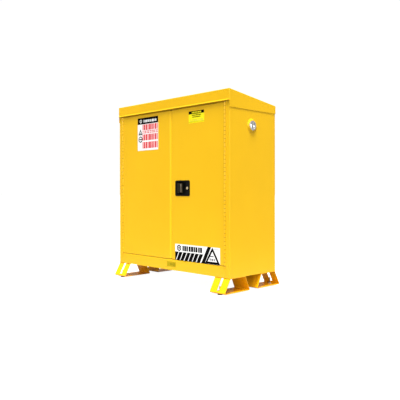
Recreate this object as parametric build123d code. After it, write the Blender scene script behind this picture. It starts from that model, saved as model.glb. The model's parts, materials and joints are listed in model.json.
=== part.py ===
from build123d import *
import os
from math import cos, pi, sin

# Two-door outdoor safety cabinet for flammable liquids, on four bolted sheet feet.
# Millimetres, +Z up. The origin is on the floor under the middle of the cabinet.
# The doors face -Y. Looking at the doors, +X is to the right.

# ---- driving dimensions -------------------------------------------------------------------
WIDTH = 1092.0  # across the side panels
DEPTH = 445.0  # over the front frame and the back panel
LEG_HEIGHT = 100.0  # floor to the underside of the body
BODY_HEIGHT = 1078.0  # underside to the flat top, below the roof
SHEET = 1.2  # 18 gauge steel
BEND = 2.5  # outside radius of a folded edge
AIR_SPACE = 38.0  # outer face of the shell to the inner face of the double wall
DOOR_THICKNESS = 38.0
CLEAR = 0.3  # gap that keeps curved moving faces apart
RUNNING = 0.05  # radial clearance of a pin in its hole

# ---- planes worked out from them ----------------------------------------------------------
X_SIDE = WIDTH / 2
Y_FRONT = -DEPTH / 2
Y_BACK = DEPTH / 2
Z_BODY = LEG_HEIGHT
Z_TOP = Z_BODY + BODY_HEIGHT
Z_INSIDE = Z_BODY + SHEET  # top of the bottom pan
Z_UNDER_TOP = Z_TOP - SHEET

# ---- door opening, doors and hinges -------------------------------------------------------
HINGE_X = 506.0  # hinge axis from the middle
HINGE_HALF_GAP = 5.5  # hinge axis to the door edge and to the frame
BARREL_R = HINGE_HALF_GAP - CLEAR
HINGE_PIN_R = 2.4
KNUCKLE_COUNT = 40
KNUCKLE_GAP = 1.5
LEAF = 1.5  # leaf thickness
LEAF_NOTCH = 6.0  # leaf edge behind the axis, clear of the other leaf's knuckles
LEAF_DEPTH = 33.0  # leaf's far edge behind the axis
OPENING_X = HINGE_X + HINGE_HALF_GAP
DOOR_EDGE_X = HINGE_X - HINGE_HALF_GAP
LEFT_DOOR_FREE_X = 12.0
RIGHT_DOOR_FREE_X = 30.0
DOOR_GAP = 3.0  # above and below the doors
ASTRAGAL_GAP = 2.7  # between the strip on the left door and the right door
ASTRAGAL_SET_BACK = (1.5, 8.5)  # behind the door fronts, at the strip's two edges
OPENING_Z = (Z_BODY + 70.0, Z_BODY + 1066.0)
DOOR_Z = (OPENING_Z[0] + DOOR_GAP, OPENING_Z[1] - DOOR_GAP)
KNUCKLE_PITCH = (DOOR_Z[1] - DOOR_Z[0]) / KNUCKLE_COUNT
Y_DOOR_BACK = Y_FRONT + DOOR_THICKNESS
Y_STOP = Y_DOOR_BACK + 1.5  # front face of the lips that the doors close on
STOP_X = OPENING_X - 23.5  # inner edge of the side lips
LIP_HEIGHT = 19.0  # sill lip above the sill
HEADER_LIP = 25.0

# ---- double wall --------------------------------------------------------------------------
X_LINER = X_SIDE - AIR_SPACE  # outer face of the side liners
Y_LINER = Y_BACK - AIR_SPACE
Z_LINER_TOP = Z_TOP - AIR_SPACE
Z_TRAY = Z_BODY + AIR_SPACE
TRAY_DEPTH = 51.0
SHELF_Z = Z_BODY + 540.0
SHELF_HEM = 30.0

# ---- latch, in the right door -------------------------------------------------------------
LATCH_X = 133.5
LATCH_Z = Z_BODY + 544.0
PLATE_SIZE = (139.0, 102.0)
PLATE_R = 12.0
PLATE_THICKNESS = 2.0
POCKET_X = (78.0, 168.0)
POCKET_HALF_Z = 42.0
POCKET_FLOOR_Y = Y_FRONT + 20.5
CUP_WALL = 1.5
PADDLE_X = (86.0, 126.0)
PADDLE_HALF_Z = 30.5
PADDLE_Y = Y_FRONT - 4.5  # front face of the paddle
PADDLE_SHEET = 4.0
PADDLE_FLANGE = 14.0
PADDLE_AXIS = (88.0, Y_FRONT + 4.5)
PADDLE_PIN_R = 2.0
LOCK_X = 180.0
LOCK_R = 8.5
ROD_R = 4.0
ROD_Y = Y_FRONT + 27.5
CAM_ARM = 22.0  # latch centre to each rod
CAM_Y = (Y_FRONT + 32.3, Y_FRONT + 35.3)
CAM_PIN_R = 2.5
CAM_POST_R = 3.0
STRIKE_HALF_X = 6.0
STRIKE_REACH = 8.0  # rod tip beyond the door edge

# ---- roof ---------------------------------------------------------------------------------
ROOF_SIDE = 2.2  # skirt outside the side panel
FASCIA_OUT = 6.0
FASCIA_Z = (Z_BODY + 1070.5, Z_BODY + 1141.2)
ROOF_REAR_Z = Z_BODY + 1081.3
SKIRT_Z = Z_BODY + 1029.6
SKIRT_OUT = 3.0  # skirt's front edge in front of the body

# ---- vents --------------------------------------------------------------------------------
RIGHT_VENT_Z = Z_BODY + 933.0
LEFT_VENT_Z = Z_BODY + 150.0
VENT_Y = -15.0
VENT_BORE_R = 28.0
VENT_TUBE_R = 30.5
COLLAR_R = 43.0
COLLAR_NOSE_R = 36.0
COLLAR_PROUD = 5.5
CAP_R = 30.0
CAP_HEAD = 4.0
CAP_BODY = 16.0

# ---- feet ---------------------------------------------------------------------------------
FOOT_X = (421.0, 546.0)
FOOT_TOP_Y = (78.0, 219.0)
FOOT_BASE_Y = (35.5, 272.0)
BASE_Z = 9.0
FOOT_SHEET = 3.0
FOOT_BEND = 6.0
FOOT_MIDDLE_X = sum(FOOT_X) / 2
SLOT_HALF_X = 10.5
SLOT_Z = (26.0, Z_BODY + 1.0)
ANCHOR_Y = 150.0
ANCHOR_R = 6.5
LEVELLER_Y = 242.0
STUD_R = 4.75
STUD_TOP = 50.0
PAD_R = 16.0
PAD_HEIGHT = 6.0
FOOT_BOLT_Y = (108.0, 200.0)
BOLT_R = 5.0
BOLT_HOLE_R = 5.5

MIRROR_X = Plane.YZ
MIRROR_Y = Plane.XZ


# ---- shapes used all over -----------------------------------------------------------------
def block(x, y, z):
    """A box between two values along each axis."""
    size = [abs(high - low) for low, high in (x, y, z)]
    corner = [min(pair) for pair in (x, y, z)]
    return Pos(*corner) * Box(*size, align=(Align.MIN, Align.MIN, Align.MIN))


def rod(start, direction, radius, length):
    """A round bar from a point along a direction."""
    plane = Plane(origin=start, z_dir=direction)
    return plane * Cylinder(radius, length, align=(Align.CENTER, Align.CENTER, Align.MIN))


def hexagon(start, direction, across_flats, length):
    """A hexagonal bar from a point along a direction."""
    plane = Plane(origin=start, z_dir=direction)
    outline = RegularPolygon(across_flats / 2, 6, major_radius=False)
    return plane * extrude(outline, length)


def folded_sheet(points, plane, length, thickness=SHEET, bend=BEND):
    """A sheet folded along a line of points, with its thickness on the line's left."""
    line = FilletPolyline(*points, radius=bend)
    section = make_face(offset(line, amount=thickness, side=Side.LEFT).edges())
    return extrude(plane * section, length)


def both_sides(shape):
    """The shape and its mirror image across the middle of the cabinet."""
    return Compound(children=[shape, mirror(shape, about=MIRROR_X)])


def save(name, shape):
    export_step(shape, f"parts/{name}.step")


def save_group(name, shapes):
    save(name, Compound(children=list(shapes)))


# ---- body shell ---------------------------------------------------------------------------
def side_shell(vent_z):
    """Right side panel, folded round into the front stile, its jamb and the door stop lip."""
    y_lap = Y_BACK - SHEET
    points = [
        (STOP_X, Y_STOP),
        (OPENING_X, Y_STOP),
        (OPENING_X, Y_FRONT),
        (X_SIDE, Y_FRONT),
        (X_SIDE, y_lap),
        (X_SIDE - 22, y_lap),
    ]
    shell = folded_sheet(points, Plane.XY.offset(Z_INSIDE), Z_UNDER_TOP - Z_INSIDE)
    return shell - rod((X_SIDE - 10, VENT_Y, vent_z), (1, 0, 0), VENT_TUBE_R + 0.1, 20)


def header():
    """Rail above the doors, with a notch where the top latch rod comes out."""
    points = [
        (Y_FRONT, Z_UNDER_TOP),
        (Y_FRONT, OPENING_Z[1]),
        (Y_STOP, OPENING_Z[1]),
        (Y_STOP, OPENING_Z[1] - HEADER_LIP),
    ]
    rail = folded_sheet(points, Plane.YZ.offset(-OPENING_X), 2 * OPENING_X) - lip_clearance()
    return rail - strike_notch(LATCH_X - CAM_ARM, OPENING_Z[1] - 1, OPENING_Z[1] + STRIKE_REACH)


def sill():
    """Rail below the doors, with a notch for the bottom latch rod."""
    points = [
        (Y_STOP, OPENING_Z[0] + LIP_HEIGHT),
        (Y_STOP, OPENING_Z[0]),
        (Y_FRONT, OPENING_Z[0]),
        (Y_FRONT, Z_INSIDE),
    ]
    rail = folded_sheet(points, Plane.YZ.offset(-OPENING_X), 2 * OPENING_X) - lip_clearance()
    return rail - strike_notch(LATCH_X + CAM_ARM, OPENING_Z[0] - STRIKE_REACH, OPENING_Z[0] + 1)


def lip_clearance():
    """What the rails leave free for the side lips and for the bend beside each of them."""
    lips = block((STOP_X - 0.5, OPENING_X + 1), (Y_STOP - CLEAR, Y_STOP + 5), (Z_BODY, Z_TOP))
    bends = block((OPENING_X - BEND - CLEAR, OPENING_X + 1), (Y_STOP - BEND - CLEAR, Y_STOP), (Z_BODY, Z_TOP))
    return both_sides(lips + bends)


def strike_notch(x, low, high):
    return block((x - STRIKE_HALF_X, x + STRIKE_HALF_X), (Y_FRONT - 1, ROD_Y + STRIKE_HALF_X), (low, high))


def back_panel():
    return block((-X_SIDE + 1, X_SIDE - 1), (Y_BACK - SHEET, Y_BACK), (Z_INSIDE, Z_UNDER_TOP))


def top_panel():
    return block((-X_SIDE, X_SIDE), (Y_FRONT, Y_BACK), (Z_UNDER_TOP, Z_TOP))


def bottom_pan():
    pan = block((-X_SIDE, X_SIDE), (Y_FRONT, Y_BACK), (Z_BODY, Z_INSIDE))
    for x, y in foot_bolt_places():
        pan -= rod((x, y, Z_BODY - 5), (0, 0, 1), BOLT_HOLE_R, 20)
    return pan


# ---- inner walls --------------------------------------------------------------------------
def side_liner(vent_z):
    y = (Y_STOP + SHEET, Y_LINER - SHEET)
    wall = block((X_LINER - SHEET, X_LINER), y, (Z_TRAY, Z_LINER_TOP - SHEET))
    return wall - rod((X_LINER - 10, VENT_Y, vent_z), (1, 0, 0), VENT_TUBE_R + 0.1, 20)


def back_liner():
    return block((-X_LINER, X_LINER), (Y_LINER - SHEET, Y_LINER), (Z_TRAY, Z_LINER_TOP - SHEET))


def top_liner():
    return block((-X_LINER, X_LINER), (Y_STOP + SHEET, Y_LINER), (Z_LINER_TOP - SHEET, Z_LINER_TOP))


def spill_tray():
    """Floor and four walls of the welded tray in the bottom of the cabinet."""
    x = X_LINER - SHEET
    y = (Y_STOP + SHEET, Y_LINER - SHEET)
    z = (Z_TRAY + SHEET, Z_TRAY + TRAY_DEPTH)
    floor = block((-x, x), y, (Z_TRAY, Z_TRAY + SHEET))
    front = block((-x, x), (y[0], y[0] + SHEET), z)
    rear = block((-x, x), (y[1] - SHEET, y[1]), z)
    right = block((x - SHEET, x), (y[0] + SHEET, y[1] - SHEET), z)
    return [floor, front, rear, right, mirror(right, about=MIRROR_X)]


def floor_channels():
    """Two channels that carry the tray on the bottom pan."""
    channels = []
    for x in (-250.0, 250.0):
        outside = block((x - 30, x + 30), (-170, 170), (Z_INSIDE, Z_TRAY))
        inside = block((x - 30 + SHEET, x + 30 - SHEET), (-171, 171), (Z_INSIDE - 1, Z_TRAY - SHEET))
        channels.append(outside - inside)
    return channels


def shelf():
    """Sheet shelf with its four edges turned down."""
    x = X_LINER - 7.0
    y = (Y_STOP + 16, Y_LINER - 8)
    outside = block((-x, x), y, (SHELF_Z - SHELF_HEM, SHELF_Z))
    inside_y = (y[0] + SHEET, y[1] - SHEET)
    inside = block((-x + SHEET, x - SHEET), inside_y, (SHELF_Z - SHELF_HEM - 1, SHELF_Z - SHEET))
    return outside - inside


def shelf_hangers():
    """Four brackets under the shelf's ends."""
    hangers = []
    reach = (X_LINER - 30, X_LINER - SHEET)
    low = SHELF_Z - SHELF_HEM
    for y in (-110.0, 110.0):
        seat = block(reach, (y - 20, y + 20), (low - 2, low))
        web = block((reach[1] - 2, reach[1]), (y - 20, y + 20), (low - 40, low))
        hanger = seat + web
        hangers += [hanger, mirror(hanger, about=MIRROR_X)]
    return hangers


# ---- doors --------------------------------------------------------------------------------
def door_pan(x):
    """Outer pan of a door: a front sheet with its four edges folded back."""
    pan = block(x, (Y_FRONT, Y_DOOR_BACK - SHEET), DOOR_Z)
    front_edges = pan.faces().sort_by(Axis.Y)[0].edges()
    pan = fillet(front_edges, BEND)
    hollow_x = (x[0] + SHEET, x[1] - SHEET)
    hollow_z = (DOOR_Z[0] + SHEET, DOOR_Z[1] - SHEET)
    return pan - block(hollow_x, (Y_FRONT + SHEET, Y_DOOR_BACK), hollow_z)


def door_back(x):
    return block(x, (Y_DOOR_BACK - SHEET, Y_DOOR_BACK), DOOR_Z)


def left_door_outer():
    return door_pan((-DOOR_EDGE_X, LEFT_DOOR_FREE_X))


def right_door_outer():
    """Outer pan of the right door, cut out for the latch cup and the two rods."""
    pan = door_pan((RIGHT_DOOR_FREE_X, DOOR_EDGE_X))
    z = (LATCH_Z - POCKET_HALF_Z - CUP_WALL - 1, LATCH_Z + POCKET_HALF_Z + CUP_WALL + 1)
    x = (POCKET_X[0] - CUP_WALL - 1, LOCK_X + LOCK_R + 3)
    pan -= block(x, (Y_FRONT - 1, Y_FRONT + 5), z)
    pan -= rod((LATCH_X - CAM_ARM, ROD_Y, DOOR_Z[1] - 5), (0, 0, 1), ROD_R + 1.5, 10)
    return pan - rod((LATCH_X + CAM_ARM, ROD_Y, DOOR_Z[0] - 5), (0, 0, 1), ROD_R + 1.5, 10)


def astragal():
    """Sloped strip on the left door's free edge, which fills the gap between the doors."""
    points = [
        (LEFT_DOOR_FREE_X, Y_FRONT + ASTRAGAL_SET_BACK[0]),
        (RIGHT_DOOR_FREE_X - ASTRAGAL_GAP, Y_FRONT + ASTRAGAL_SET_BACK[1]),
        (RIGHT_DOOR_FREE_X - ASTRAGAL_GAP, Y_DOOR_BACK - 2),
    ]
    low, high = DOOR_Z[0] + 4, DOOR_Z[1] - 4
    strip = folded_sheet(points, Plane.XY.offset(low), high - low)
    return strip - block((-DOOR_EDGE_X, LEFT_DOOR_FREE_X), (Y_FRONT, Y_DOOR_BACK), DOOR_Z)


def door_plate(x, z):
    """A thin plate on the front of a door or of the sill."""
    return block(x, (Y_FRONT - 0.4, Y_FRONT), (Z_BODY + z[0], Z_BODY + z[1]))


# ---- piano hinges, right side -------------------------------------------------------------
def hinge_leaf(towards, first):
    """One leaf with every second knuckle. towards is +1 for the frame's leaf, -1 for the door's."""
    outer = HINGE_X + towards * HINGE_HALF_GAP
    inner = outer - towards * LEAF
    x = (min(outer, inner), max(outer, inner))
    leaf = block(x, (Y_FRONT + LEAF_NOTCH, Y_FRONT + LEAF_DEPTH), DOOR_Z)
    knuckles = []
    for index in range(first, KNUCKLE_COUNT, 2):
        low = DOOR_Z[0] + index * KNUCKLE_PITCH + KNUCKLE_GAP / 2
        length = KNUCKLE_PITCH - KNUCKLE_GAP
        strap = block(x, (Y_FRONT, Y_FRONT + LEAF_NOTCH + 1), (low, low + length))
        barrel = rod((HINGE_X, Y_FRONT, low), (0, 0, 1), BARREL_R, length)
        bore = rod((HINGE_X, Y_FRONT, low - 1), (0, 0, 1), HINGE_PIN_R + RUNNING, length + 2)
        knuckles.append(strap + barrel - bore)
    return leaf.fuse(*knuckles)


def hinge_pin():
    return rod((HINGE_X, Y_FRONT, DOOR_Z[0] - 1), (0, 0, 1), HINGE_PIN_R, DOOR_Z[1] - DOOR_Z[0] + 2)


# ---- latch --------------------------------------------------------------------------------
def latch_cup():
    """Face plate with a finger pocket behind it."""
    face = Plane(origin=(LATCH_X, Y_FRONT, LATCH_Z), x_dir=(1, 0, 0), z_dir=(0, -1, 0))
    plate = face * extrude(RectangleRounded(*PLATE_SIZE, PLATE_R), PLATE_THICKNESS)
    plate = fillet(plate.faces().sort_by(Axis.Y)[0].edges(), 1.0)
    z = (LATCH_Z - POCKET_HALF_Z, LATCH_Z + POCKET_HALF_Z)
    cup_x = (POCKET_X[0] - CUP_WALL, POCKET_X[1] + CUP_WALL)
    cup = block(cup_x, (Y_FRONT, POCKET_FLOOR_Y + CUP_WALL), (z[0] - CUP_WALL, z[1] + CUP_WALL))
    pocket = block(POCKET_X, (Y_FRONT - 10, POCKET_FLOOR_Y), z)
    pocket = fillet(pocket.edges().filter_by(Axis.Y), 6)
    pin_hole = rod((*PADDLE_AXIS, z[0] - 5), (0, 0, 1), PADDLE_PIN_R + RUNNING, z[1] - z[0] + 10)
    lock_hole = rod((LOCK_X, Y_FRONT + 5, LATCH_Z), (0, -1, 0), LOCK_R + RUNNING, 20)
    return plate + cup - pocket - pin_hole - lock_hole


def paddle():
    """Folded pull plate with a finger flange on its right edge and ribs across its face."""
    z = (LATCH_Z - PADDLE_HALF_Z, LATCH_Z + PADDLE_HALF_Z)
    front = block(PADDLE_X, (PADDLE_Y, PADDLE_Y + PADDLE_SHEET), z)
    flange_x = (PADDLE_X[1] - PADDLE_SHEET, PADDLE_X[1])
    body = front + block(flange_x, (PADDLE_Y, PADDLE_Y + PADDLE_FLANGE), z)
    body = fillet(body.faces().sort_by(Axis.Y)[0].edges(), 1.5)
    body += rod((*PADDLE_AXIS, z[0]), (0, 0, 1), 2 * PADDLE_PIN_R, z[1] - z[0])
    body += block((PADDLE_AXIS[0] - 2, PADDLE_AXIS[0] + 4), (PADDLE_Y + 2, PADDLE_AXIS[1]), z)
    for step in range(-4, 5):
        rib_z = LATCH_Z + 6 * step
        body += block((PADDLE_X[0] + 4, PADDLE_X[1] - 4), (PADDLE_Y - 0.8, PADDLE_Y + 1), (rib_z - 1.2, rib_z + 1.2))
    return body - rod((*PADDLE_AXIS, z[0] - 1), (0, 0, 1), PADDLE_PIN_R + RUNNING, z[1] - z[0] + 2)


def paddle_pin():
    low = LATCH_Z - POCKET_HALF_Z - CUP_WALL
    return rod((*PADDLE_AXIS, low), (0, 0, 1), PADDLE_PIN_R, 2 * (POCKET_HALF_Z + CUP_WALL))


def lock_cylinder():
    """Key lock in the face plate, with a key slot."""
    front_y = Y_FRONT - PLATE_THICKNESS - 2.5
    barrel = rod((LOCK_X, Y_FRONT + 18, LATCH_Z), (0, -1, 0), LOCK_R, Y_FRONT + 18 - front_y)
    barrel = fillet(barrel.faces().sort_by(Axis.Y)[0].edges(), 0.8)
    return barrel - block((LOCK_X - 1.2, LOCK_X + 1.2), (front_y - 1, front_y + 5), (LATCH_Z - 4.5, LATCH_Z + 4.5))


def latch_cam():
    """Two-armed lever. Each arm's slot takes the pin of one rod."""
    y = CAM_Y
    lever = block((LATCH_X - 31, LATCH_X + 31), y, (LATCH_Z - 8, LATCH_Z + 8))
    lever = fillet(lever.edges().filter_by(Axis.Y), 7)
    lever -= rod((LATCH_X, y[0] - 1, LATCH_Z), (0, 1, 0), CAM_POST_R + RUNNING, 10)
    for side in (-1, 1):
        face = Plane(origin=(LATCH_X + side * (CAM_ARM + 1.5), y[0] - 1, LATCH_Z), x_dir=(1, 0, 0), z_dir=(0, -1, 0))
        lever -= face * extrude(SlotOverall(13.6, 2 * CAM_PIN_R + 1.7), -6)
    return lever


def cam_post():
    """Post on the inner pan that the lever turns on, with a head in front of the lever."""
    post = rod((LATCH_X, Y_DOOR_BACK - SHEET, LATCH_Z), (0, -1, 0), CAM_POST_R, 6)
    head_y = CAM_Y[0] - CLEAR
    return post + rod((LATCH_X, head_y, LATCH_Z), (0, -1, 0), CAM_POST_R + 3, 2)


def latch_rod(side, tip_z):
    """A rod from its cam pin to its tip beyond the door edge, with the tip rounded."""
    x = LATCH_X + side * CAM_ARM
    up = 1 if tip_z > LATCH_Z else -1
    start = LATCH_Z - up * 8
    bar = rod((x, ROD_Y, start), (0, 0, up), ROD_R, abs(tip_z - start))
    tip_face = bar.faces().sort_by(Axis.Z)[-1 if up > 0 else 0]
    bar = fillet(tip_face.edges(), 2)
    return bar + rod((x, ROD_Y, LATCH_Z), (0, 1, 0), CAM_PIN_R, CAM_Y[1] - ROD_Y)


def rod_guides():
    """Four blocks on the inner pan that the rods slide in."""
    places = [
        (-1, DOOR_Z[1] - 30),
        (-1, LATCH_Z + 90),
        (1, LATCH_Z - 90),
        (1, DOOR_Z[0] + 30),
    ]
    guides = []
    for side, z in places:
        x = LATCH_X + side * CAM_ARM
        guide = block((x - 10, x + 10), (ROD_Y - 7, Y_DOOR_BACK - SHEET), (z - 6, z + 6))
        guides.append(guide - rod((x, ROD_Y, z - 7), (0, 0, 1), ROD_R + RUNNING, 14))
    return guides


# ---- roof ---------------------------------------------------------------------------------
def roof_cap():
    """Rain cap: deep fascia in front, top that falls to the rear, skirts at the sides and rear."""
    y_fascia = Y_FRONT - FASCIA_OUT
    y_skirt = Y_FRONT - SKIRT_OUT
    y_rear = Y_BACK + ROOF_SIDE
    half = X_SIDE + ROOF_SIDE
    outline = [
        (y_fascia, FASCIA_Z[0]),
        (y_fascia, FASCIA_Z[1]),
        (y_rear, ROOF_REAR_Z),
        (y_rear, SKIRT_Z),
        (y_skirt, SKIRT_Z),
        (y_skirt, FASCIA_Z[0]),
    ]
    cap = extrude(Plane.YZ.offset(-half) * make_face(Polyline(*outline, close=True)), 2 * half)
    top = cap.faces().filter_by(lambda f: f.normal_at().Z > 0.9)
    fascia = cap.faces().sort_by(Axis.Y)[0]
    cap = fillet(ShapeList([*top.edges(), *fascia.edges().filter_by(Axis.Z)]), BEND)
    hollow = [
        (y_fascia + SHEET, FASCIA_Z[0] + SHEET),
        (y_fascia + SHEET, FASCIA_Z[1] - 2 * SHEET),
        (y_rear - SHEET, ROOF_REAR_Z - 2 * SHEET),
        (y_rear - SHEET, SKIRT_Z - 1),
        (Y_FRONT - 2, SKIRT_Z - 1),
        (Y_FRONT - 2, FASCIA_Z[0] + SHEET),
    ]
    inside = half - SHEET
    cap -= extrude(Plane.YZ.offset(-inside) * make_face(Polyline(*hollow, close=True)), 2 * inside)
    return cap - block((-inside, inside), (y_skirt - 1, Y_FRONT - 1), (SKIRT_Z - 1, FASCIA_Z[0]))


def roof_supports():
    """Three folded posts that carry the front of the cap on the flat top."""
    y = -205.0
    slope = (FASCIA_Z[1] - ROOF_REAR_Z) / (DEPTH + FASCIA_OUT + ROOF_SIDE)
    high = FASCIA_Z[1] - 3 * SHEET - slope * (y + 25 - Y_FRONT + FASCIA_OUT)
    posts = []
    for x in (-400.0, 0.0, 400.0):
        points = [(y + 25, Z_TOP), (y, Z_TOP), (y, high), (y + 25, high)]
        posts.append(folded_sheet(list(reversed(points)), Plane.YZ.offset(x - 20), 40))
    return posts


def roof_screws():
    """Screws through the rear skirt into the back panel."""
    screws = []
    for x in (-400.0, 0.0, 400.0):
        y = Y_BACK + ROOF_SIDE
        screws.append(rod((x, y, SKIRT_Z + 15), (0, 1, 0), 5.0, 2.5))
    return screws


# ---- vents and earth stud -----------------------------------------------------------------
def vent_collar(z):
    """Welded vent fitting: a raised collar outside and a tube through the double wall."""
    face = (X_SIDE, VENT_Y, z)
    nose = Plane(origin=face, z_dir=(1, 0, 0)) * Cone(
        COLLAR_R, COLLAR_NOSE_R, COLLAR_PROUD, align=(Align.CENTER, Align.CENTER, Align.MIN)
    )
    nose = fillet(nose.faces().sort_by(Axis.X)[-1].edges(), 2)
    tube = rod((X_LINER - 2, VENT_Y, z), (1, 0, 0), VENT_TUBE_R, X_SIDE - X_LINER + 2)
    return nose + tube - rod((X_LINER - 3, VENT_Y, z), (1, 0, 0), VENT_BORE_R, 100)


def flame_screen(z):
    """Perforated disc across the inner end of the vent tube."""
    x = X_LINER - 1
    screen = rod((x, VENT_Y, z), (1, 0, 0), VENT_BORE_R - CLEAR, 1.5)
    holes = []
    for ring in range(4):
        for step in range(max(1, 6 * ring)):
            angle = 2 * pi * step / max(1, 6 * ring)
            place = (x - 1, VENT_Y + 7 * ring * cos(angle), z + 7 * ring * sin(angle))
            holes.append(rod(place, (1, 0, 0), 2.4, 4))
    return screen.cut(*holes)


def vent_cap(z):
    """Bung cap with a raised rim and a slotted bar across it."""
    x = X_SIDE + COLLAR_PROUD
    body = rod((x - CAP_BODY, VENT_Y, z), (1, 0, 0), VENT_BORE_R - RUNNING, CAP_BODY)
    head = rod((x + CLEAR, VENT_Y, z), (1, 0, 0), CAP_R, CAP_HEAD)
    head = fillet(head.faces().sort_by(Axis.X)[-1].edges(), 1.2)
    neck = rod((x - 1, VENT_Y, z), (1, 0, 0), VENT_BORE_R - 1, 3)
    dish = rod((x - 8, VENT_Y, z), (1, 0, 0), CAP_R - 7, 20)
    bar = block((x - 9, x + CLEAR + CAP_HEAD - 0.5), (VENT_Y - 4, VENT_Y + 4), (z - CAP_R + 6, z + CAP_R - 6))
    return body + neck + head - dish + bar


def earth_stud():
    """Earthing stud with its nut and washer, on the left side near the floor."""
    start = (-X_SIDE, 150, Z_BODY + 45)
    washer = rod(start, (-1, 0, 0), 9, 1.5)
    nut = hexagon(start, (-1, 0, 0), 13, 8)
    return washer + nut + rod(start, (-1, 0, 0), 4, 11)


# ---- feet, front right --------------------------------------------------------------------
def foot():
    """Closed trapezium of folded plate, with a slot in its outer leg."""
    outline = [
        (-FOOT_TOP_Y[0], Z_BODY),
        (-FOOT_TOP_Y[1], Z_BODY),
        (-FOOT_BASE_Y[1], BASE_Z),
        (-FOOT_BASE_Y[0], BASE_Z),
    ]
    outside = make_face(Polyline(*outline, close=True))
    inside = fillet(offset(outside, amount=-FOOT_SHEET, kind=Kind.INTERSECTION).vertices(), FOOT_BEND - FOOT_SHEET)
    ring = fillet(outside.vertices(), FOOT_BEND) - inside
    shape = extrude(Plane.YZ.offset(FOOT_X[0]) * ring, FOOT_X[1] - FOOT_X[0])
    slot_x = (FOOT_MIDDLE_X - SLOT_HALF_X, FOOT_MIDDLE_X + SLOT_HALF_X)
    shape -= block(slot_x, (-300, -FOOT_TOP_Y[1] + 5), SLOT_Z)
    shape -= rod((FOOT_MIDDLE_X, -ANCHOR_Y, 0), (0, 0, 1), ANCHOR_R, 20)
    shape -= rod((FOOT_MIDDLE_X, -LEVELLER_Y, 0), (0, 0, 1), STUD_R + 0.5, 20)
    for y in FOOT_BOLT_Y:
        shape -= rod((FOOT_MIDDLE_X, -y, Z_BODY - 10), (0, 0, 1), BOLT_HOLE_R, 20)
    return shape


def foot_bolt_places():
    return [(sx * FOOT_MIDDLE_X, sy * y) for sx in (-1, 1) for sy in (-1, 1) for y in FOOT_BOLT_Y]


def foot_bolts():
    """Bolts that hold the feet to the bottom pan."""
    bolts = []
    for x, y in foot_bolt_places():
        under = Z_BODY - FOOT_SHEET
        head = hexagon((x, y, under - 6), (0, 0, 1), 16, 6)
        nut = hexagon((x, y, Z_INSIDE), (0, 0, 1), 16, 8)
        bolts.append(head + rod((x, y, under - 6), (0, 0, 1), BOLT_R, 24) + nut)
    return bolts


def leveller():
    """Screwed foot: a round pad and a stud that stands up behind the slot."""
    place = (FOOT_MIDDLE_X, -LEVELLER_Y, 0)
    pad = fillet(rod(place, (0, 0, 1), PAD_R, PAD_HEIGHT).faces().sort_by(Axis.Z)[-1].edges(), 1.5)
    return pad + rod(place, (0, 0, 1), STUD_R, STUD_TOP)


def leveller_nut():
    """Nut welded on the base plate, which the stud runs in."""
    place = (FOOT_MIDDLE_X, -LEVELLER_Y, BASE_Z + FOOT_SHEET)
    return hexagon(place, (0, 0, 1), 17, 8) - rod((place[0], place[1], 0), (0, 0, 1), STUD_R + RUNNING, 40)


def four_corners(shape):
    """The front right shape and its copies at the other corners, each with its corner's name."""
    left = mirror(shape, about=MIRROR_X)
    return {
        "front_right": shape,
        "front_left": left,
        "rear_right": mirror(shape, about=MIRROR_Y),
        "rear_left": mirror(left, about=MIRROR_Y),
    }


# ---- everything ---------------------------------------------------------------------------
def save_cabinet():
    save("shell_right", side_shell(RIGHT_VENT_Z))
    save("shell_left", mirror(side_shell(LEFT_VENT_Z), about=MIRROR_X))
    save("header", header())
    save("sill", sill())
    save("back_panel", back_panel())
    save("top_panel", top_panel())
    save("bottom_pan", bottom_pan())
    save("liner_right", side_liner(RIGHT_VENT_Z))
    save("liner_left", mirror(side_liner(LEFT_VENT_Z), about=MIRROR_X))
    save("liner_back", back_liner())
    save("liner_top", top_liner())
    save_group("spill_tray", spill_tray())
    save_group("floor_channels", floor_channels())
    save("shelf", shelf())
    save_group("shelf_hangers", shelf_hangers())
    save("earth_stud", earth_stud())
    save("approval_plate", door_plate((-22, 67), (22, 56)))


def save_roof():
    save("roof_cap", roof_cap())
    save_group("roof_supports", roof_supports())
    save_group("roof_screws", roof_screws())


def save_vents():
    save("vent_collar_right", vent_collar(RIGHT_VENT_Z))
    save("vent_collar_left", mirror(vent_collar(LEFT_VENT_Z), about=MIRROR_X))
    save("flame_screen_right", flame_screen(RIGHT_VENT_Z))
    save("flame_screen_left", mirror(flame_screen(LEFT_VENT_Z), about=MIRROR_X))
    save("vent_cap_right", vent_cap(RIGHT_VENT_Z))
    save("vent_cap_left", mirror(vent_cap(LEFT_VENT_Z), about=MIRROR_X))


def save_doors():
    save("door_left_outer", left_door_outer())
    save("door_left_inner", door_back((-DOOR_EDGE_X, LEFT_DOOR_FREE_X)))
    save("door_left_astragal", astragal())
    save("door_left_label", door_plate((-331, -109), (811, 1041)))
    save("door_right_outer", right_door_outer())
    save("door_right_inner", door_back((RIGHT_DOOR_FREE_X, DOOR_EDGE_X)))
    save("door_right_label_upper", door_plate((193, 332), (960, 1036)))
    save("door_right_label_lower", door_plate((62, 466), (73.5, 178)))


def save_hinges():
    frame_leaf = hinge_leaf(1, 0)
    door_leaf = hinge_leaf(-1, 1)
    save("hinge_right_frame_leaf", frame_leaf)
    save("hinge_left_frame_leaf", mirror(frame_leaf, about=MIRROR_X))
    save("hinge_right_door_leaf", door_leaf)
    save("hinge_left_door_leaf", mirror(door_leaf, about=MIRROR_X))
    save("hinge_right_pin", hinge_pin())
    save("hinge_left_pin", mirror(hinge_pin(), about=MIRROR_X))


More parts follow.
